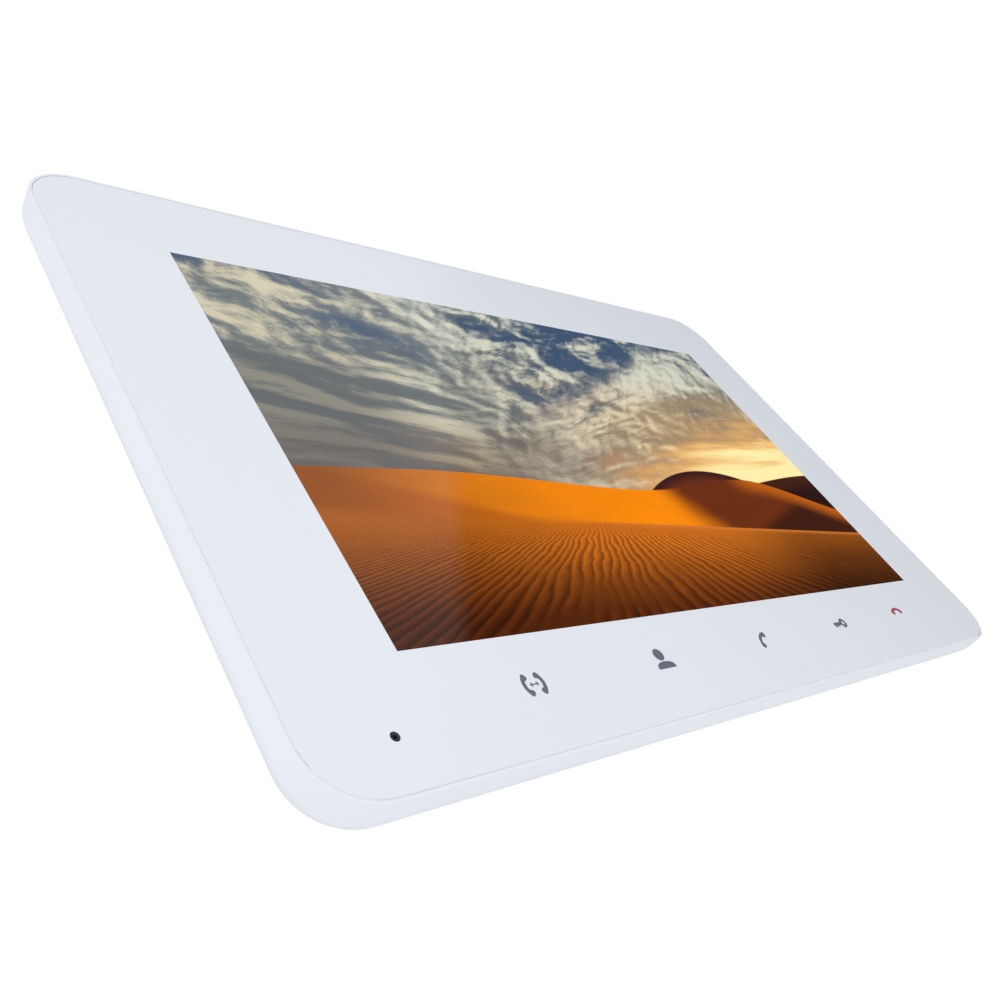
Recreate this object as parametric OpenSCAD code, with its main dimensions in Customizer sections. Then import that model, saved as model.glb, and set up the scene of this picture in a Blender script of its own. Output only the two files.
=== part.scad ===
// Video intercom monitor, 7 inch, hung on a steel wall bracket.
// The wall is the plane y = 0, the front faces -Y, and the origin is the centre of
// the bracket's screw pattern on the wall. All sizes are in millimetres.

/* [Body] */
// Width of the front casing
body_w = 194; // [194:1:204]
// Height of the front casing
body_h = 123; // [122:1:132]
// Distance from the wall to the front face
body_depth = 22; // [22:0.5:26]
// Corner radius of the front casing
corner_r = 9.5; // [9:0.5:14]
// Depth of the front casing, from the front face to its flat back
frame_depth = 8.5; // [8.5:0.5:9.5]
// Rounding of the front casing's back edge
frame_edge = 5; // [4:0.5:5]

/* [Screen] */
// Width of the clear window
window_w = 154.1; // [150:0.1:156]
// Height of the clear window
window_h = 85.3; // [82:0.1:87]
// Thickness of the white front panel
panel_t = 1.1; // [0.8:0.1:1.4]

/* [Touch keys] */
// Number of touch keys
key_count = 5; // [3:1:6]
// Distance between neighbouring touch keys
key_pitch = 29.4; // [24:0.2:29.4]

/* [Wall bracket] */
// Width of the bracket plate
bracket_w = 108; // [104:1:108]
// Height of the bracket plate
bracket_h = 72; // [68:1:72]
// Thickness of the bracket plate
bracket_t = 1.5; // [1:0.1:1.5]
// Horizontal distance between the wall screws
screw_span_x = 60; // [50:1:66]
// Vertical distance between the wall screws
screw_span_z = 56; // [52:1:58]
// Diameter of the holes for the wall screws
screw_hole = 4.5; // [4:0.1:5]

/* [Hidden] */
$fn = 64;

WHITE = "#E6EAF0";
SHADE = "#DDE2E8";
BLACK = "#1C1E20";
STEEL = "#B9BDC0";
BOARD = "#1F5A3C";

// Depths along Y, from the front face back to the wall
front_y = -body_depth;
panel_back = front_y + panel_t;
tape_t = 0.3;
lcd_front = panel_back + tape_t;
floor_t = 1.5;
floor_back = lcd_front + floor_t;
lcd_t = 5;
glass_t = 1.4;
tray_t = 0.4;
lcd_back = lcd_front + lcd_t;
frame_back = front_y + frame_depth;
flange_t = 2;
wall_gap = 0.6;
cover_back = -wall_gap;
cover_t = 2;
cover_in = cover_back - cover_t;
cut = 1;

// Front casing and panel
lip = 0.45;
panel_gap = 0.03;
panel_edge = 0.25;
frame_wall = 2.5;
lcd_w = 162.8;
lcd_h = 97;
lcd_z = 2;
lcd_gap = 0.5;
flex_w = 40;

// Rear cover, its bracket recess and the tongues that locate it in the casing
cover_w = body_w - 18;
cover_h = body_h - 14;
cover_r = 9;
cover_edge = 4.2;
opening_w = cover_w - 2 * cover_t;
opening_h = cover_h - 2 * cover_t;
opening_r = cover_r - cover_t;
lift_off = 7;
recess_w = bracket_w + 4;
recess_top = bracket_h / 2 + 2;
recess_low = -bracket_h / 2 - lift_off - 1.5;
recess_h = recess_top - recess_low;
recess_z = (recess_top + recess_low) / 2;
recess_depth = 3.9;
recess_floor = cover_back - recess_depth;
recess_in = recess_floor - cover_t;

// Screws: case screws in the corners, retainer screws beside the display
screw_x = opening_w / 2 - 2;
case_screw_z = 46;
retainer_z = 25;
thread_d = 2.2;
thread_hole = 2.3;
case_head_y = -10.5;

// Main board
board_front = -12.8;
board_t = 1.6;
board_back = board_front + board_t;
board_x0 = -42;
board_x1 = 80;
board_h = 76;
board_posts = [[-36, 34], [-36, -34], [75, 33], [75, -33]];
board_hole = 2.8;

// Terminals behind the cable window
terminal_count = 4;
terminal_pitch = 13;
terminal_w = 12.4;
terminal_h = 6.2;
terminal_back = -4.9;
pins_per_terminal = 4;
pin_pitch = 2.5;
shroud_w = 57;
shroud_h = 15;

// Wall bracket hooks and the slots that drop over them
hook_x = 44;
hook_zs = [24, -26];
hook_w = 10;
hook_rise = 6;
hook_gap = 0.4;
hook_back = recess_in - hook_gap;
hook_front = hook_back - bracket_t;
slot_play = 0.15;

// Touch keys and microphone
key_z = -50.8;
spring_z = key_z - 1.7;
spring_d = 4.4;
key_board_front = -16.9;
key_board_back = -15.9;
mic_x = -83.8;
mic_z = -53.9;
mic_d = 6;
mic_hole = 1.4;
mic_port = 0.6;

// Speaker
speaker_x = -72;
speaker_z = 15;
speaker_d = 26.5;
grille_r = speaker_d / 2 - 2.4;

// Side controls on the right-hand wall of the rear cover
side_x = cover_w / 2;
side_board_x = side_x - 6.6;
side_board_t = 1.2;
switch_x = side_board_x + side_board_t;
control_y = -8;
jog_z = 27;
jog_pivot_x = side_x - 3.1;
power_z = 6;
power_travel = 3;
card_z = -18;
card_slot_w = 12;

// ---- Shapes that repeat -------------------------------------------------------

// Rectangle with round corners, centred
module rounded_rect(w, h, r) {
    square([w - 2 * r, h], center = true);
    square([w, h - 2 * r], center = true);
    for (sx = [-1, 1], sz = [-1, 1])
        translate([sx * (w / 2 - r), sz * (h / 2 - r)]) circle(r);
}

// Plate parallel to the wall, cut from a flat outline, between two depths
module plate(front, back) {
    translate([0, back, 0]) rotate([90, 0, 0]) linear_extrude(back - front) children();
}

// Moves a piece across the face of the monitor
module at(x, z) {
    translate([x, 0, z]) children();
}

// Round bar square to the wall
module rod(d, front, back) {
    translate([0, back, 0]) rotate([90, 0, 0]) cylinder(d = d, h = back - front);
}

module tube(outer, inner, front, back) {
    difference() {
        rod(outer, front, back);
        rod(inner, front - cut, back + cut);
    }
}

// Box between two corners
module box(low, high) {
    translate(low) cube(high - low);
}

// Quarter disc that rounds an edge
module quarter(r) {
    intersection() {
        circle(r);
        square(r);
    }
}

// Slab with round corners whose back edge is rounded all the way round
module soft_slab(w, h, r, edge, front, back) {
    plate(front, back - edge) rounded_rect(w, h, r);
    plate(back - edge, back) rounded_rect(w - 2 * edge, h - 2 * edge, r - edge);
    for (turn = [0, 180]) rotate([0, turn, 0]) {
        translate([w / 2 - edge, back - edge, -(h / 2 - r)])
            linear_extrude(h - 2 * r) quarter(edge);
        translate([-(w / 2 - r), back - edge, h / 2 - edge])
            rotate([0, 90, 0]) linear_extrude(w - 2 * r) rotate(90) quarter(edge);
        for (side = [1, -1])
            translate([side * (w / 2 - r), back - edge, h / 2 - r])
                rotate([-90, 0, 0]) rotate(side > 0 ? -90 : 180)
                    rotate_extrude(angle = 90) translate([r - edge, 0]) quarter(edge);
    }
}

// Screw with a pan head towards the wall
module pan_screw(head_d, head_h, seat, tip) {
    rod(head_d, seat, seat + head_h);
    rod(thread_d, tip, seat);
}

function unit(v) = v / norm(v);

// Points of a smooth curve through hand-set points
function between(p, q, r, s, u) =
    0.5 * (2 * q + (r - p) * u + (2 * p - 5 * q + 4 * r - s) * u * u
        + (3 * q - p - 3 * r + s) * u * u * u);
function smooth(points, steps) = let (last = len(points) - 1) concat(
    [for (i = [0:last - 1], k = [0:steps - 1])
        between(points[max(i - 1, 0)], points[i], points[i + 1],
            points[min(i + 2, last)], k / steps)],
    [points[last]]);

// Round wire swept along a path; side_on is never parallel to the path
module wire(path, d, sides, side_on) {
    last = len(path) - 1;
    rings = [for (i = [0:last])
        let (
            along = unit(path[min(i + 1, last)] - path[max(i - 1, 0)]),
            across = unit(cross(along, side_on)),
            up = cross(along, across))
        for (k = [0:sides - 1])
            path[i] + d / 2 * (cos(360 * k / sides) * across + sin(360 * k / sides) * up)];
    walls = [for (i = [0:last - 1], k = [0:sides - 1])
        let (next = (k + 1) % sides)
        each [[i * sides + k, (i + 1) * sides + k, (i + 1) * sides + next],
            [i * sides + k, (i + 1) * sides + next, i * sides + next]]];
    start = [for (k = [0:sides - 1]) k];
    end = [for (k = [sides - 1:-1:0]) last * sides + k];
    polyhedron(points = rings, faces = concat([start], walls, [end]), convexity = 6);
}

// Outline of a thin strip that follows a bent line
function side_step(line, i) = let (
    last = len(line) - 1,
    along = unit(line[min(i + 1, last)] - line[max(i - 1, 0)])) [-along[1], along[0]];
function strip(line, t) = concat(
    [for (i = [0:len(line) - 1]) line[i] + t / 2 * side_step(line, i)],
    [for (i = [len(line) - 1:-1:0]) line[i] - t / 2 * side_step(line, i)]);

// Flat ribbon of one width along X, bent along a line of [y, z] points
module ribbon(line, t, x0, x1) {
    multmatrix([[0, 0, 1, x0], [1, 0, 0, 0], [0, 1, 0, 0], [0, 0, 0, 1]])
        linear_extrude(x1 - x0) polygon(strip(line, t));
}

// ---- Wall bracket -------------------------------------------------------------

module hook() {
    box([-hook_w / 2, hook_front, -bracket_t], [hook_w / 2, -bracket_t, 0]);
    box([-hook_w / 2, hook_front, -cut / 2], [hook_w / 2, hook_back, hook_rise]);
}

module wall_bracket() color(STEEL) {
    difference() {
        plate(-bracket_t, 0) rounded_rect(bracket_w, bracket_h, 4);
        plate(-bracket_t - cut, cut) rounded_rect(58, 38, 3);
        for (sx = [-1, 1], sz = [-1, 1])
            at(sx * screw_span_x / 2, sz * screw_span_z / 2)
                rod(screw_hole, -bracket_t - cut, cut);
        for (x = [-hook_x, hook_x], z = hook_zs)
            box([x - hook_w / 2 - 0.5, -bracket_t - cut, z],
                [x + hook_w / 2 + 0.5, cut, z + hook_rise + 2]);
    }
    for (x = [-hook_x, hook_x], z = hook_zs) at(x, z) hook();
}

// ---- Front casing -------------------------------------------------------------

module key_places(z) {
    for (i = [0:key_count - 1]) at((i - (key_count - 1) / 2) * key_pitch, z) children();
}

module front_panel() color(WHITE) {
    inset = lip + panel_gap;
    difference() {
        mirror([0, 1, 0]) soft_slab(body_w - 2 * inset, body_h - 2 * inset, corner_r - inset,
            panel_edge, -panel_back, -front_y);
        plate(front_y - cut, panel_back + cut) square([window_w, window_h], center = true);
        at(mic_x, mic_z) rod(mic_hole, front_y - cut, panel_back + cut);
    }
}

module display_window() color("#3A4A5C") {
    plate(front_y, panel_back) square([window_w, window_h], center = true);
}

module panel_tape() color(BLACK) {
    difference() {
        plate(panel_back, lcd_front)
            rounded_rect(body_w - 3, body_h - 3, corner_r - 1.5);
        at(0, lcd_z) plate(panel_back - cut, lcd_front + cut)
            square([lcd_w + 2 * lcd_gap, lcd_h + 2 * lcd_gap], center = true);
        key_places(spring_z) rod(spring_d + 0.8, panel_back - cut, lcd_front + cut);
        at(mic_x, mic_z) rod(3, panel_back - cut, lcd_front + cut);
    }
}

module frame_bosses() {
    for (sx = [-1, 1], sz = [-1, 1]) {
        at(sx * screw_x, sz * case_screw_z) tube(4.8, thread_hole, floor_back, frame_back);
        at(sx * screw_x, sz * retainer_z) tube(4.8, thread_hole, floor_back, lcd_back);
    }
    at(mic_x, mic_z) tube(10.6, 9.2, floor_back, -16.4);
}

module front_frame() color(SHADE) {
    difference() {
        soft_slab(body_w, body_h, corner_r, frame_edge, front_y, frame_back);
        plate(front_y - cut, lcd_front)
            rounded_rect(body_w - 2 * lip, body_h - 2 * lip, corner_r - lip);
        plate(floor_back, frame_back - flange_t)
            rounded_rect(body_w - 2 * frame_wall, body_h - 2 * frame_wall,
                corner_r - frame_wall);
        plate(floor_back, frame_back + cut) rounded_rect(opening_w, opening_h, opening_r);
        at(0, lcd_z) plate(front_y - cut, frame_back)
            square([lcd_w + 2 * lcd_gap, lcd_h + 2 * lcd_gap], center = true);
        box([-flex_w / 2 - 1, floor_back, opening_h / 2 - cut],
            [flex_w / 2 + 1, frame_back - 1.4, opening_h / 2 + 1.8]);
        key_places(spring_z) rod(spring_d + 0.8, front_y - cut, floor_back + cut);
        at(mic_x, mic_z) rod(2.5, front_y - cut, floor_back + cut);
        // Pocket in the rim for the microphone leads
        box([mic_x - 1.7, floor_back, mic_z + 0.6], [mic_x + 4, frame_back - 0.8, mic_z + 4.9]);
    }
    frame_bosses();
}

// ---- Display ------------------------------------------------------------------

module lcd_panel() color("#20262E") {
    at(0, lcd_z) plate(lcd_front, lcd_front + glass_t) square([lcd_w, lcd_h], center = true);
}

module light_guide() color("#E8ECEE") {
    at(0, lcd_z) plate(lcd_front + glass_t, lcd_back - tray_t)
        square([lcd_w - 2 * tray_t, lcd_h - 2 * tray_t], center = true);
}

// Pressed metal tray that holds the light guide
module lcd_tray() color(STEEL) {
    at(0, lcd_z) difference() {
        plate(lcd_front + glass_t, lcd_back) rounded_rect(lcd_w, lcd_h, 1);
        plate(lcd_front + glass_t - cut, lcd_back - tray_t)
            square([lcd_w - 2 * tray_t, lcd_h - 2 * tray_t], center = true);
    }
}

// Flat cable that leaves the display at the top and runs down to the main board
module lcd_flex() color("#B5772C") {
    top = lcd_z + lcd_h / 2;
    glass_mid = lcd_front + glass_t + 1;
    behind = lcd_back + 0.2;
    ribbon([[glass_mid, top], [glass_mid, top + 0.7], [glass_mid + 0.5, top + 1.1],
        [behind - 0.5, top + 1.1], [behind, top + 0.6], [behind, 41],
        [behind + 0.5, 39], [-14, 36.5], [-13.7, 35.2]], 0.2, -flex_w / 2, flex_w / 2);
}

module lcd_retainers() color(STEEL) {
    for (sx = [-1, 1]) difference() {
        at(sx * (screw_x - 2.1), 0) plate(lcd_back, lcd_back + 0.8) rounded_rect(7.6, 64, 1.6);
        for (sz = [-1, 1]) at(sx * screw_x, sz * retainer_z)
            rod(2.6, lcd_back - cut, lcd_back + 2);
    }
}

module retainer_screws() color(STEEL) {
    for (sx = [-1, 1], sz = [-1, 1]) at(sx * screw_x, sz * retainer_z)
        pan_screw(3.8, 1.2, lcd_back + 0.8, floor_back + 0.5);
}

// ---- Touch keys ---------------------------------------------------------------

module key_board() color(BOARD) {
    at(0, key_z - 2.8) plate(key_board_front, key_board_back)
        rounded_rect((key_count - 1) * key_pitch + 14, 9.6, 1);
}

// One conical contact spring behind each key
module touch_springs() color("#C9A24A") {
    turns = 4;
    steps = 14;
    wire_d = 0.45;
    travel = key_board_front - panel_back - wire_d;
    coil = [for (i = [0:turns * steps])
        let (u = i / (turns * steps), r = spring_d / 2 - wire_d / 2 - 0.5 * (1 - u))
        [r * cos(360 * i / steps), panel_back + wire_d / 2 + travel * u,
            r * sin(360 * i / steps)]];
    key_places(spring_z) wire(coil, wire_d, 5, [0, 1, 0]);
}

module key_ribbon() color("#D8D8D2") {
    ribbon([[key_board_back + 0.2, -50.5], [key_board_back + 0.5, -49.2], [-15, -47],
        [-14.3, -42], [-13.9, -38.5], [-13.5, -36.6]], 0.4, 20, 27);
}

// ---- Microphone ---------------------------------------------------------------

module microphone() color(STEEL) {
    at(mic_x, mic_z) {
        rod(mic_d, -18.3, -16.1);
        rod(4.6, -16.1, -15.9);
    }
}

// Rubber boot with a nose that fills the hole in the panel round a fine sound port
module microphone_boot() color(BLACK) {
    at(mic_x, mic_z) {
        difference() {
            rod(9, floor_back, -16.1);
            rod(mic_d, -18.3, -16);
            rod(mic_port, floor_back - cut, -18);
        }
        tube(mic_hole - 0.06, mic_port, front_y + 0.08, floor_back + 0.2);
    }
}

module microphone_leads() color("#B02A20") {
    for (step = [0, 1.1])
        wire(smooth([[-84.3 + step, -15.4, -52], [-84 + step, -15, -51.2],
            [-81.5 + step, -14.5, -50.2 + step * 0.3], [-72, -14.3, -49.2 + step],
            [-56, -14.2, -46 + step], [-46.5, -13.9, -36 + step], [-43, -13.6, -29 + step],
            [-40.3, -13.5, -26.6 + step]], 4), 0.8, 6, [0.1, 1, 0.1]);
}

// ---- Main board ---------------------------------------------------------------

module main_board() color(BOARD) {
    difference() {
        at((board_x0 + board_x1) / 2, 0) plate(board_front, board_back)
            rounded_rect(board_x1 - board_x0, board_h, 2);
        for (post = board_posts) at(post[0], post[1])
            rod(board_hole, board_front - cut, board_back + cut);
    }
}

module processor() color(BLACK) {
    at(14, 24) {
        plate(board_back, board_back + 0.4) square(17, center = true);
        plate(board_back + 0.4, board_back + 1.6) square(15.6, center = true);
    }
}

module shield_can() color(STEEL) {
    at(-17, 25) difference() {
        plate(board_back, board_back + 2.2) rounded_rect(28, 20, 1);
        plate(board_back - cut, board_back + 2) rounded_rect(27.6, 19.6, 0.8);
    }
}

module memory_chips() color(BLACK) {
    for (x = [31, 45]) at(x, 24) plate(board_back, board_back + 1) square([8, 12], center = true);
}

// Upright can capacitors on square bases
module board_capacitors() color("#C4C7CB") {
    for (place = [[65, 24], [65, 14], [65, 4], [75, 14], [75, 4]]) at(place[0], place[1]) {
        plate(board_back, board_back + 0.8) square(8.2, center = true);
        rod(7.8, board_back + 0.8, board_back + 7);
    }
}

module board_inductors() color("#3A3C40") {
    for (place = [[63, -8], [63, -17], [63, -26]]) at(place[0], place[1])
        plate(board_back, board_back + 3) rounded_rect(7, 7, 1);
}

module board_screws() color(STEEL) {
    for (post = board_posts) at(post[0], post[1]) {
        rod(4.6, board_front - 1.2, board_front);
        rod(thread_d, board_front, board_back + 3.6);
    }
}

// Clamp socket for the display's flat cable, on the front of the board
module lcd_socket() color("#EDE6D2") {
    plate(board_front - 1.3, board_front) translate([0, 32.6]) square([44, 4], center = true);
}

// Plugs for the internal leads
module wire_headers() color("#F0EDE4") {
    at(-37.4, -25.6) plate(board_front - 1.4, board_front) square([5, 6], center = true);
    at(23.5, -35) plate(board_front - 0.5, board_front) square([9, 3.6], center = true);
    at(-38, 5) plate(board_back, board_back + 3) square([5, 6], center = true);
    at(77.6, 23) plate(board_back, board_back + 2.4) square([4.4, 9], center = true);
}

module terminal_places() {
    for (i = [0:terminal_count - 1]) at((i - (terminal_count - 1) / 2) * terminal_pitch, 0)
        children();
}

module terminal_headers() color("#F2F0EA") {
    terminal_places() difference() {
        plate(board_back, terminal_back) square([terminal_w, terminal_h], center = true);
        plate(board_back + 1.4, terminal_back + cut)
            square([terminal_w - 1.8, terminal_h - 1.8], center = true);
        box([-2.4, board_back + 3, -terminal_h], [2.4, terminal_back + cut, 0]);
    }
}

module terminal_pins() color("#C9A24A") {
    terminal_places() for (k = [0:pins_per_terminal - 1])
        at((k - (pins_per_terminal - 1) / 2) * pin_pitch, 0.5)
            plate(board_back + 1.4, terminal_back - 0.8) square(0.64, center = true);
}

// Memory card socket that opens through the right-hand wall
module card_socket() color(STEEL) {
    difference() {
        box([board_x1 - 9, board_back, card_z - 7], [side_x - 2.4, board_back + 1.9, card_z + 7]);
        box([board_x1 - 7, board_back + 0.5, card_z - 5.7],
            [side_x, board_back + 1.5, card_z + 5.7]);
    }
}

// ---- Speaker ------------------------------------------------------------------

module speaker_frame() color("#2A2C2E") {
    at(speaker_x, speaker_z) {
        tube(speaker_d, speaker_d - 4, -4.6, -3.1);
        tube(speaker_d - 3, speaker_d - 6, -6.4, -4.6);
        tube(speaker_d - 5, 14.2, -7.6, -6.4);
    }
}

module speaker_cone() color("#4A4640") {
    at(speaker_x, speaker_z) rotate([90, 0, 0]) rotate_extrude()
        polygon([[0, 6.1], [3, 5.4], [8.5, 4.1], [9.8, 3.7], [11.1, 4.3], [11.1, 4.6],
            [9.8, 4], [8.5, 4.4], [3, 5.7], [0, 6.4]]);
}

module speaker_magnet() color(STEEL) {
    at(speaker_x, speaker_z) {
        rod(14, -9.4, -6.5);
        rod(10, -10, -9.4);
    }
}

module speaker_gasket() color("#2E2E2E") {
    at(speaker_x, speaker_z) tube(speaker_d, speaker_d - 4, -3.1, cover_in);
}

module speaker_leads() color("#B02A20") {
    for (step = [0, 1.2])
        wire(smooth([[-63.1, -8.2, 9 - step], [-60, -9, 8.3 - step], [-52, -9.6, 7.2 - step],
            [-45, -9.7, 6 - step], [-40.55, -9.7, 5.6 - step]], 4), 0.9, 6, [0.1, 1, 0.1]);
}

// ---- Side controls ------------------------------------------------------------

module side_board() color(BOARD) {
    box([side_board_x, -12.4, -2], [switch_x, -3.6, 37]);
}

module side_ribbon() color("#D8D8D2") {
    plate_y = board_back + 1.2;
    box([79.8, plate_y, 20], [side_board_x, plate_y + 0.4, 26]);
}

// Fixed case of the jog switch, open towards the side wall
module jog_switch() color(BLACK) {
    difference() {
        box([switch_x, control_y - 3.4, jog_z - 4.5],
            [side_x - 2.2, control_y + 3.4, jog_z + 4.5]);
        box([switch_x + 0.3, control_y - 2.6, jog_z - 3.6],
            [side_x, control_y + 2.6, jog_z + 3.6]);
    }
}

// Forked slider that the lever rocks in; it moves inwards when the lever is pressed
module jog_slider() color("#D8D8D2") {
    ear_back = jog_pivot_x + 0.9;
    difference() {
        union() {
            box([switch_x + 0.9, control_y - 2.3, jog_z - 2.8],
                [switch_x + 1.3, control_y + 2.3, jog_z + 2.8]);
            for (side = [-1, 1]) translate([0, side * 1.9, 0])
                box([switch_x + 1.2, control_y - 0.4, jog_z - 1.1],
                    [ear_back, control_y + 0.4, jog_z + 1.1]);
        }
        translate([jog_pivot_x, 0, jog_z]) rod(1.1, control_y - 4, control_y + 4);
    }
}

module jog_lever() color("#DADEE4") {
    thumb_x = side_x + 1.4;
    translate([jog_pivot_x, 0, jog_z]) {
        rod(1, control_y - 2.25, control_y + 2.25);
        rod(1.6, control_y - 1.3, control_y + 1.3);
    }
    box([jog_pivot_x, control_y - 1.2, jog_z - 0.7], [thumb_x + 0.4, control_y + 1.2, jog_z + 0.7]);
    translate([thumb_x, 0, jog_z]) {
        box([0, control_y - 2.2, -2.2], [2, control_y + 2.2, 2.2]);
        for (end = [-1, 1]) translate([1, 0, end * 2.2]) rod(2, control_y - 2.2, control_y + 2.2);
        for (k = [-1:1]) translate([2, 0, k * 1.3]) rod(0.6, control_y - 2.2, control_y + 2.2);
    }
}

module power_switch() color(STEEL) {
    difference() {
        box([switch_x, control_y - 2.9, power_z - 5], [side_x - 2.2, control_y + 2.9, power_z + 5]);
        box([switch_x + 0.4, control_y - 1.4, power_z - 3.6],
            [side_x, control_y + 1.4, power_z + 3.6]);
    }
}

// Ribbed slide knob, shown in the upper (on) position
module power_knob() color("#DADEE4") {
    z = power_z + power_travel / 2;
    box([switch_x + 0.8, control_y - 1, z - 1.5], [side_x + 0.6, control_y + 1, z + 1.5]);
    box([side_x + 0.4, control_y - 1.9, z - 2.1], [side_x + 1.6, control_y + 1.9, z + 2.1]);
    for (k = [-1:1]) translate([side_x + 1.6, 0, z + k * 1.3])
        rod(0.6, control_y - 1.9, control_y + 1.9);
}

// ---- Rear cover ---------------------------------------------------------------

module cover_posts() {
    for (sx = [-1, 1], sz = [-1, 1]) at(sx * screw_x, sz * case_screw_z)
        rod(6.2, frame_back, cover_in);
    for (post = board_posts) at(post[0], post[1])
        rod(5.4, board_back, abs(post[0]) < recess_w / 2 ? recess_in : cover_in);
}

// Bores for the case screws from behind and for the board screws from inside
module cover_bores() {
    for (sx = [-1, 1], sz = [-1, 1]) at(sx * screw_x, sz * case_screw_z) {
        rod(5.2, case_head_y, cut);
        rod(2.8, frame_back - cut, cut);
    }
    for (post = board_posts) at(post[0], post[1])
        rod(thread_hole, board_back - cut, board_back + 4);
}

// Slots: hook slots, rear vents and the speaker grille
module cover_slots() {
    for (x = [-hook_x, hook_x], z = hook_zs)
        box([x - hook_w / 2 - 1, recess_in - cut, z + slot_play - lift_off - 2.2],
            [x + hook_w / 2 + 1, cut, z + slot_play]);
    for (i = [-6:6], vent = [[45.8, 8], [-48.5, 3.2]]) at(i * 8, vent[0])
        plate(cover_in - cut, cut) rounded_rect(2, vent[1], 0.9);
    for (i = [-3:3]) {
        slot_w = round(20 * sqrt(pow(grille_r, 2) - pow(i * 3.2, 2))) / 10;
        at(speaker_x, speaker_z + i * 3.2)
            plate(cover_in - cut, cut) rounded_rect(slot_w, 1.6, 0.7);
    }
}

// Openings in the right-hand wall
module side_openings() {
    inside = side_x - 2 - cut;
    outside = side_x + cut;
    box([inside, control_y - 1.7, jog_z - 2.6], [outside, control_y + 1.7, jog_z + 2.6]);
    box([inside, control_y - 1.3, power_z - 3.3], [outside, control_y + 1.3, power_z + 3.3]);
    box([inside, board_back + 0.4, card_z - card_slot_w / 2],
        [outside, board_back + 1.7, card_z + card_slot_w / 2]);
}

module rear_cover() color(SHADE) {
    difference() {
        union() {
            difference() {
                soft_slab(cover_w, cover_h, cover_r, cover_edge, frame_back, cover_back);
                plate(frame_back - cut, cover_in) rounded_rect(opening_w, opening_h, opening_r);
            }
            at(0, recess_z) plate(recess_in, cover_in)
                rounded_rect(recess_w + 4, recess_h + 4, 4);
            plate(board_back + 0.2, recess_in) square([shroud_w + 3, shroud_h + 3], center = true);
            cover_posts();
            for (x = [-55, 55], side = [-1, 1])
                at(x, side * (opening_h / 2 - 0.9)) plate(frame_back - 1.4, cover_in)
                    square([36, 1.3], center = true);
            for (z = [-3.1, 38.1])
                box([side_board_x - 1.2, -12.4, z - 1], [switch_x + 1.2, cover_in, z + 1]);
        }
        at(0, recess_z) plate(recess_floor, cut) rounded_rect(recess_w, recess_h, 3);
        plate(board_back, cut) square([shroud_w, shroud_h], center = true);
        cover_bores();
        cover_slots();
        side_openings();
    }
}

module case_screws() color(STEEL) {
    for (sx = [-1, 1], sz = [-1, 1]) at(sx * screw_x, sz * case_screw_z) difference() {
        pan_screw(4.8, 1.8, case_head_y, floor_back + 0.8);
        for (turn = [0, 90]) rotate([0, turn, 0])
            box([-1.5, case_head_y + 0.9, -0.3], [1.5, case_head_y + 2, 0.3]);
    }
}

module wall_pads() color("#55585C") {
    for (sx = [-1, 1], sz = [-1, 1]) at(sx * 73, sz * 44.5) rod(8, cover_back, 0);
}

module rating_label() color("#D9DBDD") {
    at(70.4, -8) plate(cover_back, cover_back + 0.15) rounded_rect(24, 46, 1.5);
}

wall_bracket();
front_panel();
display_window();
panel_tape();
front_frame();
lcd_panel();
light_guide();
lcd_tray();
lcd_flex();
lcd_retainers();
retainer_screws();
key_board();
touch_springs();
key_ribbon();
microphone();
microphone_boot();
microphone_leads();
main_board();
processor();
shield_can();
memory_chips();
board_capacitors();
board_inductors();
board_screws();
lcd_socket();
wire_headers();
terminal_headers();
terminal_pins();
card_socket();
speaker_frame();
speaker_cone();
speaker_magnet();
speaker_gasket();
speaker_leads();
side_board();
side_ribbon();
jog_switch();
jog_slider();
jog_lever();
power_switch();
power_knob();
rear_cover();
case_screws();
wall_pads();
rating_label();
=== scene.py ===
"""Looks of the wall-mounted video intercom monitor.

Every CAD node gets a procedural material, the window gets a lit desert picture made of nodes,
and the five touch keys get printed icons. Lengths in the code are in millimetres up to the
point where they reach Blender, which works in metres.
"""
import math

import bmesh
import bpy
from mathutils import Matrix, Vector


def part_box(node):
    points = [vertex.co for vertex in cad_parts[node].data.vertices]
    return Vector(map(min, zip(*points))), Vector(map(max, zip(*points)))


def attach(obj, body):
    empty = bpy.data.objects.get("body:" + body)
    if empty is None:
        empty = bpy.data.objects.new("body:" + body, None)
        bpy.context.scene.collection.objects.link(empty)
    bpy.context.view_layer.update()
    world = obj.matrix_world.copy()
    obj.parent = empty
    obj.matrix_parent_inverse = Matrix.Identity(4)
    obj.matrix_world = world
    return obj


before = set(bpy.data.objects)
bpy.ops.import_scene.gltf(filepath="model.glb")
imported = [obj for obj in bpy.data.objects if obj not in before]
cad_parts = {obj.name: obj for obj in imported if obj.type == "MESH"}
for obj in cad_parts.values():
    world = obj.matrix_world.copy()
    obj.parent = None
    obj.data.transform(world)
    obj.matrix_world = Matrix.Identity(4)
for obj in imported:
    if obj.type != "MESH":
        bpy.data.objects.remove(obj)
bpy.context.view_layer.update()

MM = 0.001


# --- node graphs -------------------------------------------------------------------------------

def linear(red, green, blue):
    """Linear light of a display colour given as 0 to 255."""
    def channel(value):
        value = value / 255
        return value / 12.92 if value <= 0.04045 else ((value + 0.055) / 1.055) ** 2.4
    return (channel(red), channel(green), channel(blue), 1.0)


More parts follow.
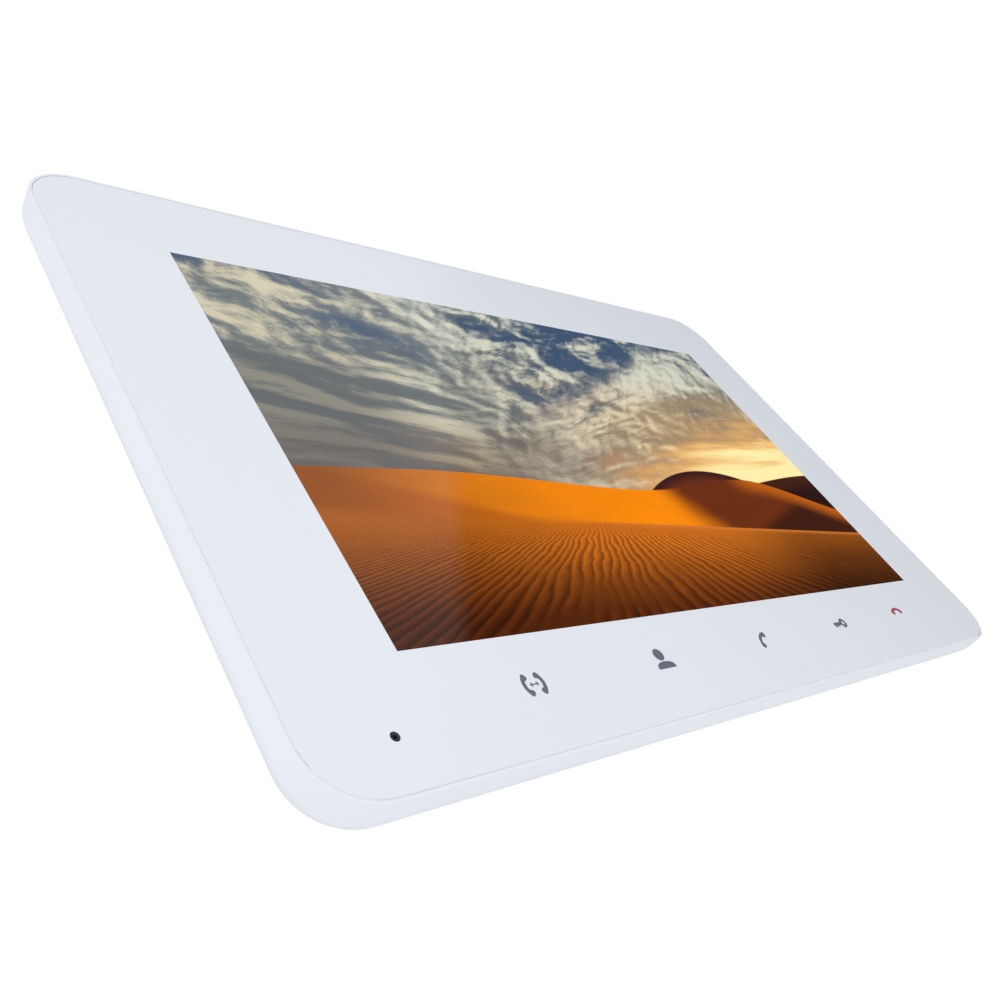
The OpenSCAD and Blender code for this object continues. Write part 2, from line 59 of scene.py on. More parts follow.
class Field:
    """A number that varies over a surface, written in ordinary arithmetic."""

    def __init__(self, graph, socket):
        self.graph = graph
        self.socket = socket

    def apply(self, operation, *values):
        return self.graph.math(operation, self, *values)

    def __add__(self, other):
        return self.apply("ADD", other)

    def __radd__(self, other):
        return self.graph.math("ADD", other, self)

    def __sub__(self, other):
        return self.apply("SUBTRACT", other)

    def __rsub__(self, other):
        return self.graph.math("SUBTRACT", other, self)

    def __mul__(self, other):
        return self.apply("MULTIPLY", other)

    def __rmul__(self, other):
        return self.graph.math("MULTIPLY", other, self)

    def __truediv__(self, other):
        return self.apply("DIVIDE", other)

    def __rtruediv__(self, other):
        return self.graph.math("DIVIDE", other, self)

    def power(self, other):
        return self.apply("POWER", other)

    def at_least(self, other):
        return self.apply("MAXIMUM", other)

    def at_most(self, other):
        return self.apply("MINIMUM", other)

    def sine(self):
        return self.apply("SINE")

    def smooth(self, low, high):
        """0 at low, 1 at high, with soft ends."""
        node = self.graph.node("ShaderNodeMapRange", interpolation_type="SMOOTHSTEP")
        self.graph.feed(node.inputs["Value"], self)
        self.graph.feed(node.inputs["From Min"], low)
        self.graph.feed(node.inputs["From Max"], high)
        return Field(self.graph, node.outputs["Result"])


class Graph:
    """A node tree with short calls, each of which returns a field or a colour socket."""

    def __init__(self, tree):
        self.tree = tree
        self.tree.nodes.clear()

    def node(self, kind, **settings):
        made = self.tree.nodes.new(kind)
        for name, value in settings.items():
            setattr(made, name, value)
        return made

    def feed(self, socket, value):
        """Links a field or socket, or sets a plain value."""
        if isinstance(value, Field):
            value = value.socket
        if isinstance(value, bpy.types.NodeSocket):
            self.tree.links.new(value, socket)
        else:
            socket.default_value = value

    def math(self, operation, *values):
        made = self.node("ShaderNodeMath", operation=operation)
        for socket, value in zip(made.inputs, values):
            self.feed(socket, value)
        return Field(self, made.outputs[0])

    def vector(self, x, y, z=0.0):
        made = self.node("ShaderNodeCombineXYZ")
        for socket, value in zip(made.inputs, (x, y, z)):
            self.feed(socket, value)
        return made.outputs[0]

    def place(self):
        """The surface point in the object's own frame."""
        return self.node("ShaderNodeTexCoord").outputs["Object"]

    def parts(self, vector, scale=1 / MM):
        """The x, y and z fields of a vector, in millimetres for a place."""
        made = self.node("ShaderNodeSeparateXYZ")
        self.feed(made.inputs[0], vector)
        return [Field(self, output) * scale for output in made.outputs]

    def stretched(self, vector, scale):
        made = self.node("ShaderNodeVectorMath", operation="MULTIPLY")
        self.feed(made.inputs[0], vector)
        self.feed(made.inputs[1], scale)
        return made.outputs[0]

    def noise(self, vector, scale=1.0, detail=2.0, roughness=0.5, distortion=0.0, lacunarity=2.0):
        made = self.node("ShaderNodeTexNoise")
        settings = {"Vector": vector, "Scale": scale, "Detail": detail, "Roughness": roughness,
                    "Distortion": distortion, "Lacunarity": lacunarity}
        for name, value in settings.items():
            self.feed(made.inputs[name], value)
        return Field(self, made.outputs[0])

    def cells(self, vector, scale=1.0, randomness=1.0, feature="F1"):
        made = self.node("ShaderNodeTexVoronoi", feature=feature)
        settings = {"Vector": vector, "Scale": scale, "Randomness": randomness}
        for name, value in settings.items():
            self.feed(made.inputs[name], value)
        return Field(self, made.outputs["Distance"])

    def mix(self, first, second, amount):
        """The first colour where the amount is 0 and the second where it is 1."""
        made = self.node("ShaderNodeMix", data_type="RGBA", blend_type="MIX")
        self.feed(made.inputs[0], amount)
        self.feed(made.inputs[6], first)
        self.feed(made.inputs[7], second)
        return made.outputs[2]

    def brightened(self, colour, amount):
        """A colour times a field or number."""
        made = self.node("ShaderNodeVectorMath", operation="SCALE")
        self.feed(made.inputs[0], colour)
        self.feed(made.inputs["Scale"], amount)
        return made.outputs[0]

    def bump(self, height, depth, strength=1.0):
        """A normal from a height field of 0 to 1 that stands for a depth in millimetres."""
        made = self.node("ShaderNodeBump")
        made.inputs["Strength"].default_value = strength
        made.inputs["Distance"].default_value = depth * MM
        self.feed(made.inputs["Height"], height)
        return made.outputs[0]

    def principled(self, **settings):
        """The surface shader. Underscores in a setting's name stand for spaces."""
        made = self.node("ShaderNodeBsdfPrincipled")
        for name, value in settings.items():
            self.feed(made.inputs[name.replace("_", " ")], value)
        output = self.node("ShaderNodeOutputMaterial")
        self.tree.links.new(made.outputs[0], output.inputs[0])
        return made


def material_graph(name):
    material = bpy.data.materials.get(name) or bpy.data.materials.new(name)
    material.use_nodes = True
    return material, Graph(material.node_tree)


# --- the lit picture ---------------------------------------------------------------------------

HORIZON_Z = -11.0
STREAK_X, STREAK_Z = -70.0, -21.0       # where the streaks of cloud would meet, under the sand
RIPPLE_X, RIPPLE_Z = -15.0, -15.5       # where the sand ripples meet

SUNLIT_SAND = (250, 138, 4)
HAZY_SAND = (160, 92, 30)
SHADED_SAND = (106, 45, 15)
NEAR_SAND = (204, 110, 26)
DEEP_SAND = (84, 36, 6)


def far_crest(x):
    """A long dune that sinks gently from the left."""
    return x.smooth(-56, 6) * -3.9 - 9.3


def dark_dune(x):
    """A low round hump behind the sunlit dune."""
    away = x - 29
    return away * away * -0.011 - 6.8


def sunlit_dune(x):
    """A ridge that climbs slowly to its top and falls faster past it."""
    return x.smooth(44, 2) * -4 - x.smooth(42, 90) * 12 - 9.2


def far_ridge(x):
    """A dark slope behind the others that rises towards the right edge."""
    return x.smooth(10, 84) * 8 - 14.6


def near_crest(x):
    return x * -0.057 - 22.6


def sand_light(x):
    """The near sand is bright in the middle and falls into shade on the right."""
    return x.smooth(-66, -20) * 0.3 - x.smooth(8, 56) * 0.7 + 0.74


def cloud_cover(g, x, z, shift=0.0):
    """Heaped puffs on the left that draw out into rising streaks on the right, 0 to 1."""
    x = x + shift
    z = z + shift * 0.6
    slope = (z - STREAK_Z) / (x - STREAK_X).at_least(10)
    sway = g.noise(g.vector(x * 0.03, z * 0.04, 4.0), 1.0, 3) - 0.5
    streaks = g.noise(g.vector(x * 0.03 + slope * 0.4, slope * 7.0 + sway * 1.6, 2.2), 1.0, 10, 0.6, 0.15)
    warp = g.noise(g.vector(x * 0.05, z * 0.07, 9.0), 1.0, 3, 0.5) - 0.5
    puffs = g.noise(g.vector(x * 0.036 + warp * 0.5, z * 0.056 + x * 0.012 + warp * 0.5, 5.3),
                    1.0, 12, 0.62, 0.0)
    mottled = g.noise(g.vector(x * 0.07 + warp, z * 0.11 - x * 0.03, 1.7), 1.0, 9, 0.6, 0.2)
    layers = g.noise(g.vector(x * 0.022 + warp * 0.3, z * 0.13 + x * 0.02 + warp * 0.5, 8.1), 1.0, 9, 0.6)
    drawn_out = slope.smooth(0.56, 0.42) * x.smooth(-30, 6)
    spread = x.smooth(-34, -6) * (1 - drawn_out)
    low_left = x.smooth(-22, -44) * z.smooth(24, 12)
    heaped = puffs * (1 - spread) + mottled * spread
    heaped = heaped * (1 - low_left) + layers * low_left
    return heaped * (1 - drawn_out) + streaks * drawn_out


def sky(g, x, z):
    """Blue gap between heaped clouds on the left and a bright rising bank over the sunset."""
    cover = cloud_cover(g, x, z)
    toward_sun = cloud_cover(g, x, z, 2.2)
    height = (z - HORIZON_Z) / 54
    slope = (z - STREAK_Z) / (x - STREAK_X).at_least(10)
    right = x.smooth(-50, 70)
    gap_edge = x - (z - 6) * 0.62 + 20
    gap = gap_edge.smooth(-7, 7) * slope.smooth(0.44, 0.54) * z.smooth(0, 12)
    bank = (slope.smooth(0.33, 0.4) - slope.smooth(0.43, 0.49)) * x.smooth(-24, 6)
    veil = slope.smooth(0.4, 0.32) * x.smooth(0, 40)
    crown = ((x + 56) * 0.045).apply("ABSOLUTE") + ((z - 25 + (x + 56) * 0.3) * 0.08).apply("ABSOLUTE")
    relief = (cover - toward_sun) * 6.5 + 0.38 + (cover - 0.5) * 2.2 + bank * 0.36 - veil * 0.3
    lump = cover + (1 - crown).at_least(0) * 0.1 + x.smooth(-8, -26) * 0.03
    open_sky = gap * z.smooth(16, 34) * x.smooth(-10, 6)
    cover = lump - gap * 0.05 - open_sky * 0.06 + bank * 0.1 + veil * 0.1
    blue = g.mix(linear(92, 104, 114), linear(62, 84, 112), height.smooth(0.2, 0.8))
    low_sky = g.mix(linear(78, 82, 88), linear(238, 172, 102), x.smooth(-40, 40))
    clear = g.mix(blue, low_sky, height.smooth(0.45, 0.06))
    left_haze = x.smooth(-16, -44) * z.smooth(30, 16)
    clear = g.mix(clear, linear(98, 102, 102), left_haze * 0.85)
    warmth = height.smooth(0.75, 0.15) * right
    cream = g.mix(linear(212, 213, 196), linear(246, 204, 136), warmth)
    cream = g.mix(cream, linear(208, 198, 166), x.smooth(-20, -56) * 0.75)
    dull = g.mix(linear(108, 116, 118), linear(180, 148, 106), height.smooth(0.9, 0.3) * right)
    cloud = g.mix(dull, cream, relief.smooth(-0.1, 1.1))
    smoky = x.smooth(10, -40) * height.smooth(0.36, 0.08)
    cloud = g.mix(cloud, linear(134, 112, 90), smoky * 0.65)
    dusk = x.smooth(-38, -62) * z.smooth(22, 12)
    cloud = g.mix(cloud, linear(86, 88, 92), dusk * 0.7)
    picture = g.mix(clear, cloud, cover.smooth(0.36, 0.56))
    sunward = x.smooth(-22, 60)
    streak = g.noise(g.vector(x * 0.02, (z - x * 0.06) * 0.22, 6.0), 1.0, 6, 0.55)
    band = (height - 0.03 - sunward * 0.17) / (0.08 + sunward * 0.26)
    sun = (1 - band + (streak - 0.5) * 2.2).smooth(0.1, 1.6) * sunward
    glow = g.mix(linear(240, 180, 104), linear(255, 240, 172), sun.smooth(0.3, 0.9))
    return g.mix(picture, glow, sun.smooth(0.0, 0.6))


def sand_ripples(g, x, z):
    """Wavy lines that run towards the viewer from one far point."""
    drop = (RIPPLE_Z - z).at_least(2.0)
    lines = (x - RIPPLE_X) / drop
    ground = g.vector(lines * 1.2, 30 / drop, 7.7)
    sway = g.noise(ground, 1.6, 3, 0.55) - 0.5
    phase = lines * 42 + sway * 13
    crest = (phase + phase.sine() * 0.55).sine()
    patches = g.noise(g.vector(x * 0.045, z * 0.09, 1.3), 1.0, 2).smooth(0.28, 0.5)
    return crest * drop.smooth(5, 11) * patches


def landscape(g):
    """A sunset desert: streaky sky, a dark dune, a sunlit ridge and rippled sand in front."""
    x, _, z = g.parts(g.place())
    grain = g.noise(g.vector(x, z), 1.4, 6, 0.6) - 0.5
    drift = g.noise(g.vector(x * 0.05, z * 0.16, 2.0), 1.0, 5, 0.6) - 0.5

    picture = sky(g, x, z)

    ridge = z - far_ridge(x)
    far = g.mix(linear(66, 30, 14), linear(40, 17, 12), ridge.smooth(-1, -6))
    picture = g.mix(picture, far, ridge.smooth(0.15, -0.15))

    cap = z - dark_dune(x)
    cap_tone = g.mix(linear(100, 44, 26), linear(58, 24, 22), cap.smooth(-3.5, -0.2))
    picture = g.mix(picture, cap_tone, cap.smooth(0.15, -0.15))

    lit = z - sunlit_dune(x)
    along = x + (z + 14) * 0.75 + drift * 6
    body = g.mix(linear(*SUNLIT_SAND), linear(*SHADED_SAND), along.smooth(0, 18))
    body = g.brightened(body, 1 + grain * 0.25 + drift * 0.3)
    shade_edge = (x - 34) * 0.33 - (z + 24) + drift * 1.5
    body = g.mix(body, linear(62, 26, 10), shade_edge.smooth(-1.0, 3.0) * x.smooth(18, 36))
    ridge_glow = lit.smooth(-6.5, -0.2) * x.smooth(34, 47)
    body = g.mix(body, linear(198, 100, 14), ridge_glow * 0.85)
    picture = g.mix(picture, body, lit.smooth(0.15, -0.15) * x.smooth(-2, 3))

    crest = z - far_crest(x)
    flank = g.mix(linear(*HAZY_SAND), linear(*SUNLIT_SAND), x.smooth(-90, -2))
    fold = (x + 44) * -0.3 - (z + 16.5) + drift * 2
    flank = g.mix(flank, linear(176, 90, 20), fold.smooth(0.0, 3.5) * x.smooth(6, -14) * 0.8)
    flank = g.brightened(flank, (1 - x.smooth(-52, -74) * 0.3) * (1 + grain * 0.25 + drift * 0.35))
    picture = g.mix(picture, flank, crest.smooth(0.15, -0.15) * x.smooth(14, 2))

    near = z - near_crest(x)
    soft = 0.12 + x.smooth(-4, -40) * 1.8
    tone = g.mix(linear(*NEAR_SAND), linear(*DEEP_SAND), near.smooth(4, -22))
    ripple = sand_ripples(g, x, z)
    shade = sand_light(x - (z + 32) * 0.5) + near.smooth(-9, -1) * x.smooth(20, 60) * 0.13
    light = shade * (1 + ripple * 0.42 + grain * 0.45 + drift * 0.3)
    tone = g.brightened(tone, light)
    rim = near.smooth(-1.2, -0.2) * x.smooth(-26, 4)
    tone = g.mix(tone, linear(214, 122, 50), rim * 0.7)
    return g.mix(picture, tone, near.smooth(soft, soft * -1))


def lit_window():
    """Dark glass that gives off the picture, with a faint unevenness in its shine."""
    _, g = material_graph("window")
    fine = g.noise(g.place(), 1 / (0.4 * MM), 2)
    g.principled(
        Base_Color=(0.001, 0.001, 0.0015, 1), IOR=1.5, Roughness=0.03,
        Emission_Color=landscape(g), Emission_Strength=1.0, Normal=g.bump(fine, 0.0008))


# --- materials of the CAD nodes ----------------------------------------------------------------

def finish(name, colour, rough, metal=0.0, grain=0.3, depth=0.004, patch=18.0, shade=0.05,
           rough_swing=0.06, along=(1, 1, 1), ior=1.5, coat=0.0, coat_rough=0.1):
    """A solid finish: fine surface grain, slow colour drift and uneven gloss."""
    _, g = material_graph(name)
    place = g.place()
    fine = g.noise(g.stretched(place, along), 1 / (grain * MM), 4, 0.6)
    slow = g.noise(place, 1 / (patch * MM), 3, 0.55)
    tone = g.brightened(linear(*colour)[:3], 1 + (slow - 0.5) * shade + (fine - 0.5) * shade * 0.6)
    gloss = rough + (slow - 0.5) * rough_swing + (fine - 0.5) * rough_swing
    g.principled(
        Base_Color=tone, Metallic=metal, Roughness=gloss, IOR=ior,
        Coat_Weight=coat, Coat_Roughness=coat_rough, Normal=g.bump(fine, depth))


def circuit_board():
    """Green solder mask over copper tracks, with rows of plated holes."""
    _, g = material_graph("circuit_board")
    x, y, z = g.parts(g.place())
    wander = g.noise(g.place(), 1 / (9 * MM), 2) - 0.5
    across = (x + wander * 3).apply("PINGPONG", 1.1)
    upward = (z + wander * 3).apply("PINGPONG", 0.9)
    zone = g.noise(g.place(), 1 / (14 * MM), 1).smooth(0.47, 0.53)
    track = across.smooth(0.32, 0.42) * (1 - zone) + upward.smooth(0.3, 0.4) * zone
    dots = g.cells(g.stretched(g.place(), (1, 0, 1)), 1 / (2.54 * MM), 0.0)
    hole = dots.smooth(0.2, 0.16) * g.noise(g.place(), 1 / (22 * MM), 1).smooth(0.52, 0.56)
    mask = g.mix(linear(10, 74, 44), linear(22, 104, 62), track)
    tone = g.mix(mask, linear(206, 190, 150), hole)
    height = track * 0.6 + hole
    g.principled(Base_Color=tone, Roughness=0.34 - hole * 0.1, Metallic=hole, Coat_Weight=0.3,
                 Coat_Roughness=0.2, Normal=g.bump(height, 0.035))


def striped(name, light, dark, pitch, rough, metal=0.0):
    """A flat cable: parallel conductors under a film."""
    _, g = material_graph(name)
    x, _, z = g.parts(g.place())
    wave = (x * (2 * math.pi / pitch)).sine() * 0.5 + 0.5
    fine = g.noise(g.place(), 1 / (0.5 * MM), 3)
    tone = g.mix(linear(*light), linear(*dark), wave.smooth(0.35, 0.65))
    g.principled(Base_Color=tone, Roughness=rough + fine * 0.08, Metallic=metal,
                 Normal=g.bump(wave + fine * 0.2, 0.05))


def foam():
    """Black closed-cell tape."""
    _, g = material_graph("foam_tape")
    bubble = g.cells(g.place(), 1 / (0.35 * MM))
    tone = g.mix(linear(26, 26, 28), linear(48, 48, 50), bubble)
    g.principled(Base_Color=tone, Roughness=0.88, Normal=g.bump(bubble, 0.05))


def guide_plate():
    """Clear backlight plate with its printed dots."""
    _, g = material_graph("light_guide")
    dots = g.cells(g.stretched(g.place(), (1, 0, 1)), 1 / (1.6 * MM), 0.0).smooth(0.26, 0.2)
    tone = g.mix(linear(214, 222, 226), linear(246, 248, 248), dots)
    g.principled(Base_Color=tone, Roughness=0.12 + dots * 0.4, IOR=1.49, Normal=g.bump(dots, 0.01))


def paper_cone():
    """Pressed paper with fine rings and fibres."""
    _, g = material_graph("speaker_paper")
    centre = (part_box("speaker_cone")[0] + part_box("speaker_cone")[1]) / 2 / MM
    x, _, z = g.parts(g.place())
    across = x - centre.x
    upward = z - centre.z
    radius = (across * across + upward * upward).power(0.5)
    rings = (radius * (2 * math.pi / 1.1)).sine() * 0.5 + 0.5
    fibre = g.noise(g.place(), 1 / (0.5 * MM), 5, 0.7)
    tone = g.mix(linear(36, 34, 34), linear(66, 62, 60), fibre)
    g.principled(Base_Color=tone, Roughness=0.85, Normal=g.bump(rings * 0.6 + fibre * 0.4, 0.06))


def brushed(name, colour, rough, across, metal=1.0):
    """Metal with a one-way grain."""
    finish(name, colour, rough, metal=metal, grain=0.25, depth=0.003, shade=0.1, rough_swing=0.14,
           along=across, patch=12)


def ruled_label():
    """Silvery film with an empty printed table: a border, rules and one blank box."""
    _, g = material_graph("label_film")
    low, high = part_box("rating_label")
    centre = (low + high) / 2 / MM
    x, _, z = g.parts(g.place())
    across = (x - centre.x).apply("ABSOLUTE")
    upward = z - centre.z
    height = upward.apply("ABSOLUTE")
    edge_x, edge_z = (high.x - low.x) / MM / 2 - 1.6, (high.z - low.z) / MM / 2 - 1.6
    inside = (across - edge_x).smooth(0.04, -0.04) * (height - edge_z).smooth(0.04, -0.04)
    core = (across - edge_x).smooth(-0.16, -0.24) * (height - edge_z).smooth(-0.16, -0.24)
    rule = (upward + 0.9).apply("PINGPONG", 2.4).smooth(0.13, 0.07) * upward.smooth(-8, -7.9)
    box_x = across - 6.5
    box_z = (upward + 14.2).apply("ABSOLUTE") - 4.2
    box = box_x.smooth(0.04, -0.04) * box_z.smooth(0.04, -0.04)
    hollow = box_x.smooth(-0.14, -0.22) * box_z.smooth(-0.14, -0.22)
    ink = (inside * (1 - core) + rule * core + box * (1 - hollow)).at_most(1.0)
    fine = g.noise(g.stretched(g.place(), (1, 1, 0.1)), 1 / (0.15 * MM), 3)
    film = g.brightened((0.66, 0.67, 0.69), 0.94 + fine * 0.12)
    g.principled(Base_Color=g.mix(film, linear(88, 90, 96), ink), Metallic=0.45 - ink * 0.45,
                 Roughness=0.3 + fine * 0.08, Normal=g.bump(fine, 0.002))


def make_materials():
    lit_window()
    circuit_board()
    foam()
    guide_plate()
    paper_cone()
    striped("ribbon_cable", (226, 226, 222), (186, 188, 190), 1.0, 0.42)
    striped("flex_film", (190, 118, 40), (150, 86, 26), 0.9, 0.3)
    brushed("sheet_steel", (176, 178, 180), 0.34, (0.15, 1, 1))
    brushed("aluminium_cans", (198, 200, 204), 0.3, (1, 0.2, 1))
    brushed("contact_brass", (206, 168, 92), 0.28, (1, 1, 0.3))
    brushed("screws", (152, 154, 158), 0.32, (1, 0.4, 1))
    finish("white_acrylic", (231, 235, 241), 0.16, grain=0.6, depth=0.0006, shade=0.008,
           rough_swing=0.02, patch=40)
    finish("white_casing", (233, 237, 242), 0.42, grain=0.32, depth=0.006, shade=0.015, patch=45)
    finish("control_caps", (220, 224, 230), 0.36, grain=0.25, depth=0.005, shade=0.03)
    finish("lcd_glass", (14, 16, 20), 0.07, grain=0.8, depth=0.0004, shade=0.1, rough_swing=0.02)
    finish("black_rubber", (48, 51, 56), 0.72, grain=0.4, depth=0.02, shade=0.2, rough_swing=0.12)
    finish("grey_rubber", (112, 114, 118), 0.78, grain=0.35, depth=0.03, shade=0.12, rough_swing=0.1)
    finish("wire_sleeving", (168, 34, 30), 0.4, grain=0.5, depth=0.006, shade=0.08)
    finish("chip_black", (30, 31, 33), 0.5, grain=0.12, depth=0.008, shade=0.25, rough_swing=0.16)
    finish("connector_nylon", (222, 218, 204), 0.5, grain=0.25, depth=0.006, shade=0.05)
    finish("speaker_basket", (44, 46, 50), 0.42, grain=0.25, depth=0.01, shade=0.15)
    finish("magnet_steel", (138, 140, 144), 0.36, metal=0.9, grain=0.3, depth=0.004, shade=0.12)
    finish("bracket_steel", (186, 188, 190), 0.4, metal=0.85, grain=1.4, depth=0.01, shade=0.16,
           rough_swing=0.22, patch=6)
    ruled_label()


# --- printed key icons -------------------------------------------------------------------------

INK_THICKNESS = 0.02
FRONT_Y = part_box("front_panel")[0].y / MM
KEY_PITCH = 29.4
KEY_ROW_Z = -50.8


def turned(points, degrees, shift=(0.0, 0.0)):
    angle = math.radians(degrees)
    return [(x * math.cos(angle) - z * math.sin(angle) + shift[0],
             x * math.sin(angle) + z * math.cos(angle) + shift[1]) for x, z in points]


def handset(span, bow, thin, fat, degrees=0.0, shift=(0.0, 0.0), steps=40):
    """Outline of a telephone handset that bows upward before it is turned."""
    radius = (span * span / 4 + bow * bow) / (2 * bow)
    reach = math.asin(span / 2 / radius)
    rounding = 0.8
    outer, inner = [], []
    for step in range(steps + 1):
        t = 2 * step / steps - 1
        swell = min(max((abs(t) - 0.36) / 0.3, 0.0), 1.0)
        swell = swell * swell * (3 - 2 * swell)
        half = (thin + (fat - thin) * swell) / 2
        centre = radius - (half - thin / 2)
        end = max(0.0, (abs(t) - rounding) / (1 - rounding))
        half = half * math.sqrt(max(0.0, 1 - end ** 2.6)) + 0.01
        angle = t * reach
        for points, distance in ((outer, centre + half), (inner, centre - half)):
            points.append((distance * math.sin(angle), distance * math.cos(angle) - radius))
    outline = [(x, z + bow / 2) for x, z in outer + inner[::-1]]
    return turned(outline, degrees, shift)


def disc(radius, shift=(0.0, 0.0), steps=36):
    return [(radius * math.cos(2 * math.pi * k / steps) + shift[0],
             radius * math.sin(2 * math.pi * k / steps) + shift[1]) for k in range(steps)]


def shoulders(width, height, foot):
    """A dome with a rounded foot, for the bust under the head."""
    points = []
    for step in range(31):
        angle = math.pi * step / 30
        lift = math.sin(angle) ** 0.62
        points.append((width / 2 * math.cos(angle), foot + height * lift))
    return points


def double_arrow(length, head, shaft):
    half = length / 2
    barb = half - head
    right = [(barb, -shaft), (barb, -head), (half, 0), (barb, head), (barb, shaft)]
    return right + [(-x, -z) for x, z in right]


def key_shapes():
    """A door key lying flat: round bow with a hole at the right, bitted blade at the left."""
    bow_x, bow_z, bow_r, hole_r = 1.25, 0.12, 1.12, 0.42
    neck = math.sqrt(bow_r ** 2 - 0.36 ** 2)
    blade = [(bow_x - neck, bow_z + 0.36), (-2.5, bow_z + 0.36), (-2.7, bow_z + 0.05),
             (-2.5, bow_z - 0.3), (-2.2, bow_z - 0.85), (-1.75, bow_z - 0.85), (-1.6, bow_z - 0.36),
             (-1.3, bow_z - 0.36), (-1.1, bow_z - 0.7), (-0.75, bow_z - 0.7), (-0.6, bow_z - 0.36),
             (bow_x - neck, bow_z - 0.36)]
    return [blade], [(disc(bow_r, (bow_x, bow_z)), disc(hole_r, (bow_x, bow_z)))]


def ink_layer(name, centre, outlines, rings=(), material="key_ink"):
    """A thin raised print on the panel, from closed (x, z) outlines and (outer, inner) rings."""
    shape = bmesh.new()

    def corners(points):
        return [shape.verts.new(((centre[0] + x) * MM, (FRONT_Y - INK_THICKNESS) * MM,
                                 (centre[1] + z) * MM)) for x, z in points]

    for outline in outlines:
        shape.faces.new(corners(outline))
    for outer, inner in rings:
        rim, hole = corners(outer), corners(inner)
        count = len(rim)
        for k in range(count):
            after = (k + 1) % count
            shape.faces.new((rim[k], rim[after], hole[after], hole[k]))
    bmesh.ops.recalc_face_normals(shape, faces=shape.faces)
    for face in shape.faces:
        if face.normal.y > 0:
            face.normal_flip()
    front = list(shape.faces)
    raised = bmesh.ops.extrude_face_region(shape, geom=front)
    back = [item for item in raised["geom"] if isinstance(item, bmesh.types.BMVert)]
    for vertex in back:
        vertex.co.y += INK_THICKNESS * MM
    bmesh.ops.recalc_face_normals(shape, faces=shape.faces)
    mesh = bpy.data.meshes.new(name)
    shape.to_mesh(mesh)
    shape.free()
    piece = bpy.data.objects.new(name, mesh)
    bpy.context.scene.collection.objects.link(piece)
    mesh.materials.append(bpy.data.materials[material])
    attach(piece, "monitor")
    return piece


def make_icons():
    finish("key_ink", (104, 110, 124), 0.4, grain=0.1, depth=0.002, shade=0.08)
    finish("red_ink", (178, 84, 104), 0.4, grain=0.1, depth=0.002, shade=0.08)
    ink_layer("intercom_icon", (-2 * KEY_PITCH + 0.4, KEY_ROW_Z), [
        handset(3.5, 0.78, 0.62, 1.0, 90, (-1.45, 0)),
        handset(3.5, 0.78, 0.62, 1.0, -90, (1.35, 0)),
        double_arrow(1.75, 0.42, 0.1)])
    ink_layer("person_icon", (-KEY_PITCH, KEY_ROW_Z), [
        disc(1.12, (-0.15, 0.86)), shoulders(4.4, 1.3, -1.75)])
    ink_layer("answer_icon", (1.0, KEY_ROW_Z), [handset(4.1, 0.95, 0.66, 1.1, 45)])
    blade, bow = key_shapes()
    ink_layer("unlock_icon", (KEY_PITCH + 2.1, KEY_ROW_Z), blade, bow)
    ink_layer("hang_up_icon", (2 * KEY_PITCH + 0.4, KEY_ROW_Z + 0.5), [
        handset(4.9, 1.0, 0.72, 1.2, 0)], material="red_ink")


# --- camera, light and floor -------------------------------------------------------------------

CAMERA_TARGET = (-40.2, -22.0, -16.1)
CAMERA_AZIMUTH = -55.06
CAMERA_ELEVATION = -30.02
CAMERA_DISTANCE = 157.4
CAMERA_ROLL = 35.37
CAMERA_LENS = 34.47


def make_camera():
    azimuth, elevation = math.radians(CAMERA_AZIMUTH), math.radians(CAMERA_ELEVATION)
    roll = math.radians(CAMERA_ROLL)
    outward = Vector((math.sin(azimuth) * math.cos(elevation),
                      -math.cos(azimuth) * math.cos(elevation), math.sin(elevation)))
    level = (-outward).cross(Vector((0, 0, 1))).normalized()
    upright = level.cross(-outward)
    up = upright * math.cos(roll) + level * math.sin(roll)
    right = (-outward).cross(up)
    data = bpy.data.cameras.new("camera")
    data.lens = CAMERA_LENS
    data.clip_start = 0.005
    camera = bpy.data.objects.new("camera", data)
    bpy.context.scene.collection.objects.link(camera)
    place = (Vector(CAMERA_TARGET) + outward * CAMERA_DISTANCE) * MM
    camera.matrix_world = Matrix.Translation(place) @ Matrix((right, up, outward)).transposed().to_4x4()
    bpy.context.scene.camera = camera


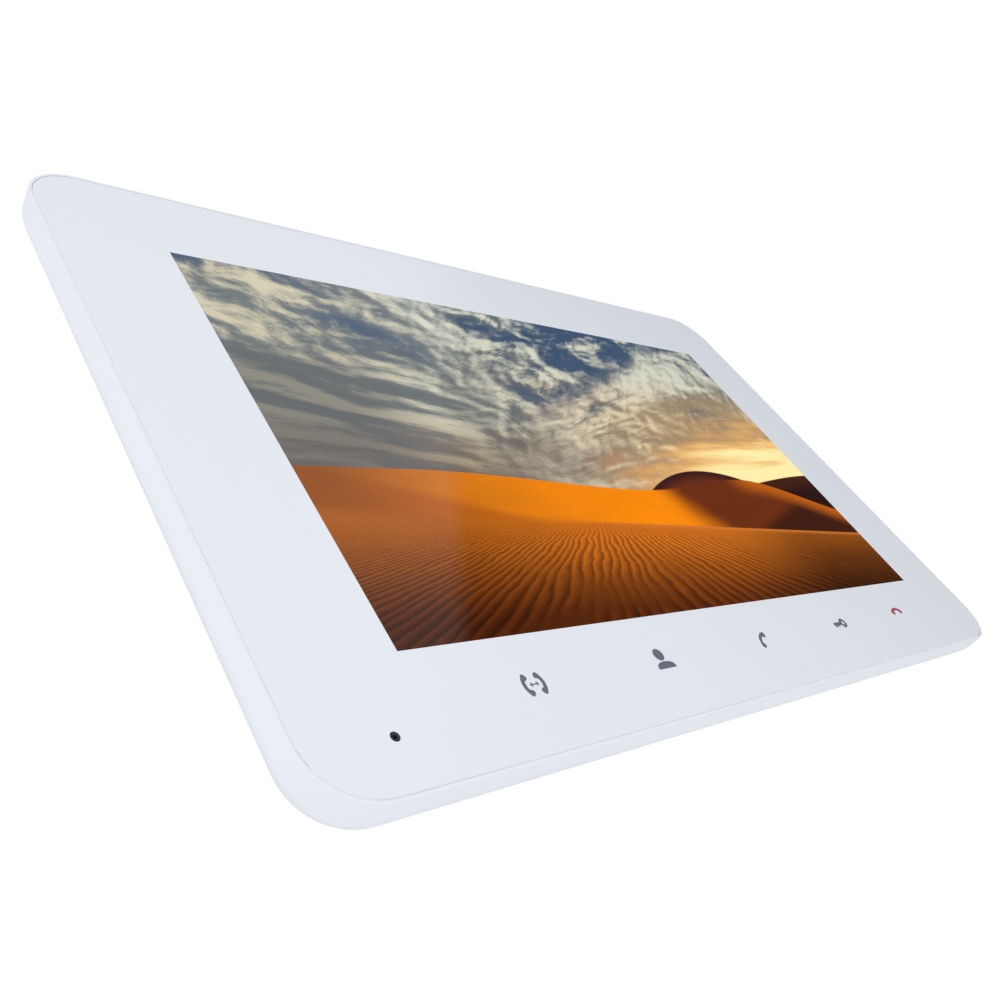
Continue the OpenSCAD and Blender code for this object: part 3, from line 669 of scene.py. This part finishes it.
def make_world():
    """White behind the object, soft light for matt surfaces, and a dim two-tone room for gloss."""
    world = bpy.data.worlds.new("studio")
    world.use_nodes = True
    world.cycles.sampling_method = "NONE"
    bpy.context.scene.world = world
    g = Graph(world.node_tree)
    direction = g.node("ShaderNodeTexCoord").outputs["Generated"]
    x, y, z = g.parts(direction, 1.0)
    soft = 1.028 - x * 0.0625 - x.at_least(0) * 0.13 - y * 0.12 + z * 0.02
    bright_side = (x * 1.67 + y * 1.17 - z).smooth(0.035, -0.035)
    room = 0.02 + bright_side * 0.33 + y.smooth(0.1, 0.6) * 0.5
    rays = g.node("ShaderNodeLightPath")
    matt = g.node("ShaderNodeBackground")
    g.feed(matt.inputs["Color"], (0.985, 0.99, 1.0, 1))
    g.feed(matt.inputs["Strength"], soft)
    gloss = g.node("ShaderNodeBackground")
    g.feed(gloss.inputs["Color"], (0.95, 0.97, 1.0, 1))
    g.feed(gloss.inputs["Strength"], room)
    white = g.node("ShaderNodeBackground")
    g.feed(white.inputs["Color"], (1, 1, 1, 1))
    inner = g.node("ShaderNodeMixShader")
    g.feed(inner.inputs[0], rays.outputs["Is Glossy Ray"])
    g.feed(inner.inputs[1], matt.outputs[0])
    g.feed(inner.inputs[2], gloss.outputs[0])
    outer = g.node("ShaderNodeMixShader")
    g.feed(outer.inputs[0], rays.outputs["Is Camera Ray"])
    g.feed(outer.inputs[1], inner.outputs[0])
    g.feed(outer.inputs[2], white.outputs[0])
    output = g.node("ShaderNodeOutputWorld")
    g.feed(output.inputs[0], outer.outputs[0])


FLOOR_Z = -400.0
FLOOR_RADIUS = 1500.0


def make_floor():
    """A round pale floor well below the object."""
    shape = bmesh.new()
    bmesh.ops.create_circle(shape, cap_ends=True, radius=FLOOR_RADIUS * MM, segments=128)
    mesh = bpy.data.meshes.new("floor")
    shape.to_mesh(mesh)
    shape.free()
    floor = bpy.data.objects.new("floor", mesh)
    floor.location.z = FLOOR_Z * MM
    bpy.context.scene.collection.objects.link(floor)
    finish("floor_paint", (250, 251, 253), 0.8, grain=3.0, depth=0.01, shade=0.006, patch=300)
    mesh.materials.append(bpy.data.materials["floor_paint"])


bpy.context.scene.view_settings.view_transform = "Standard"
make_camera()
make_world()
make_floor()
make_materials()
make_icons()
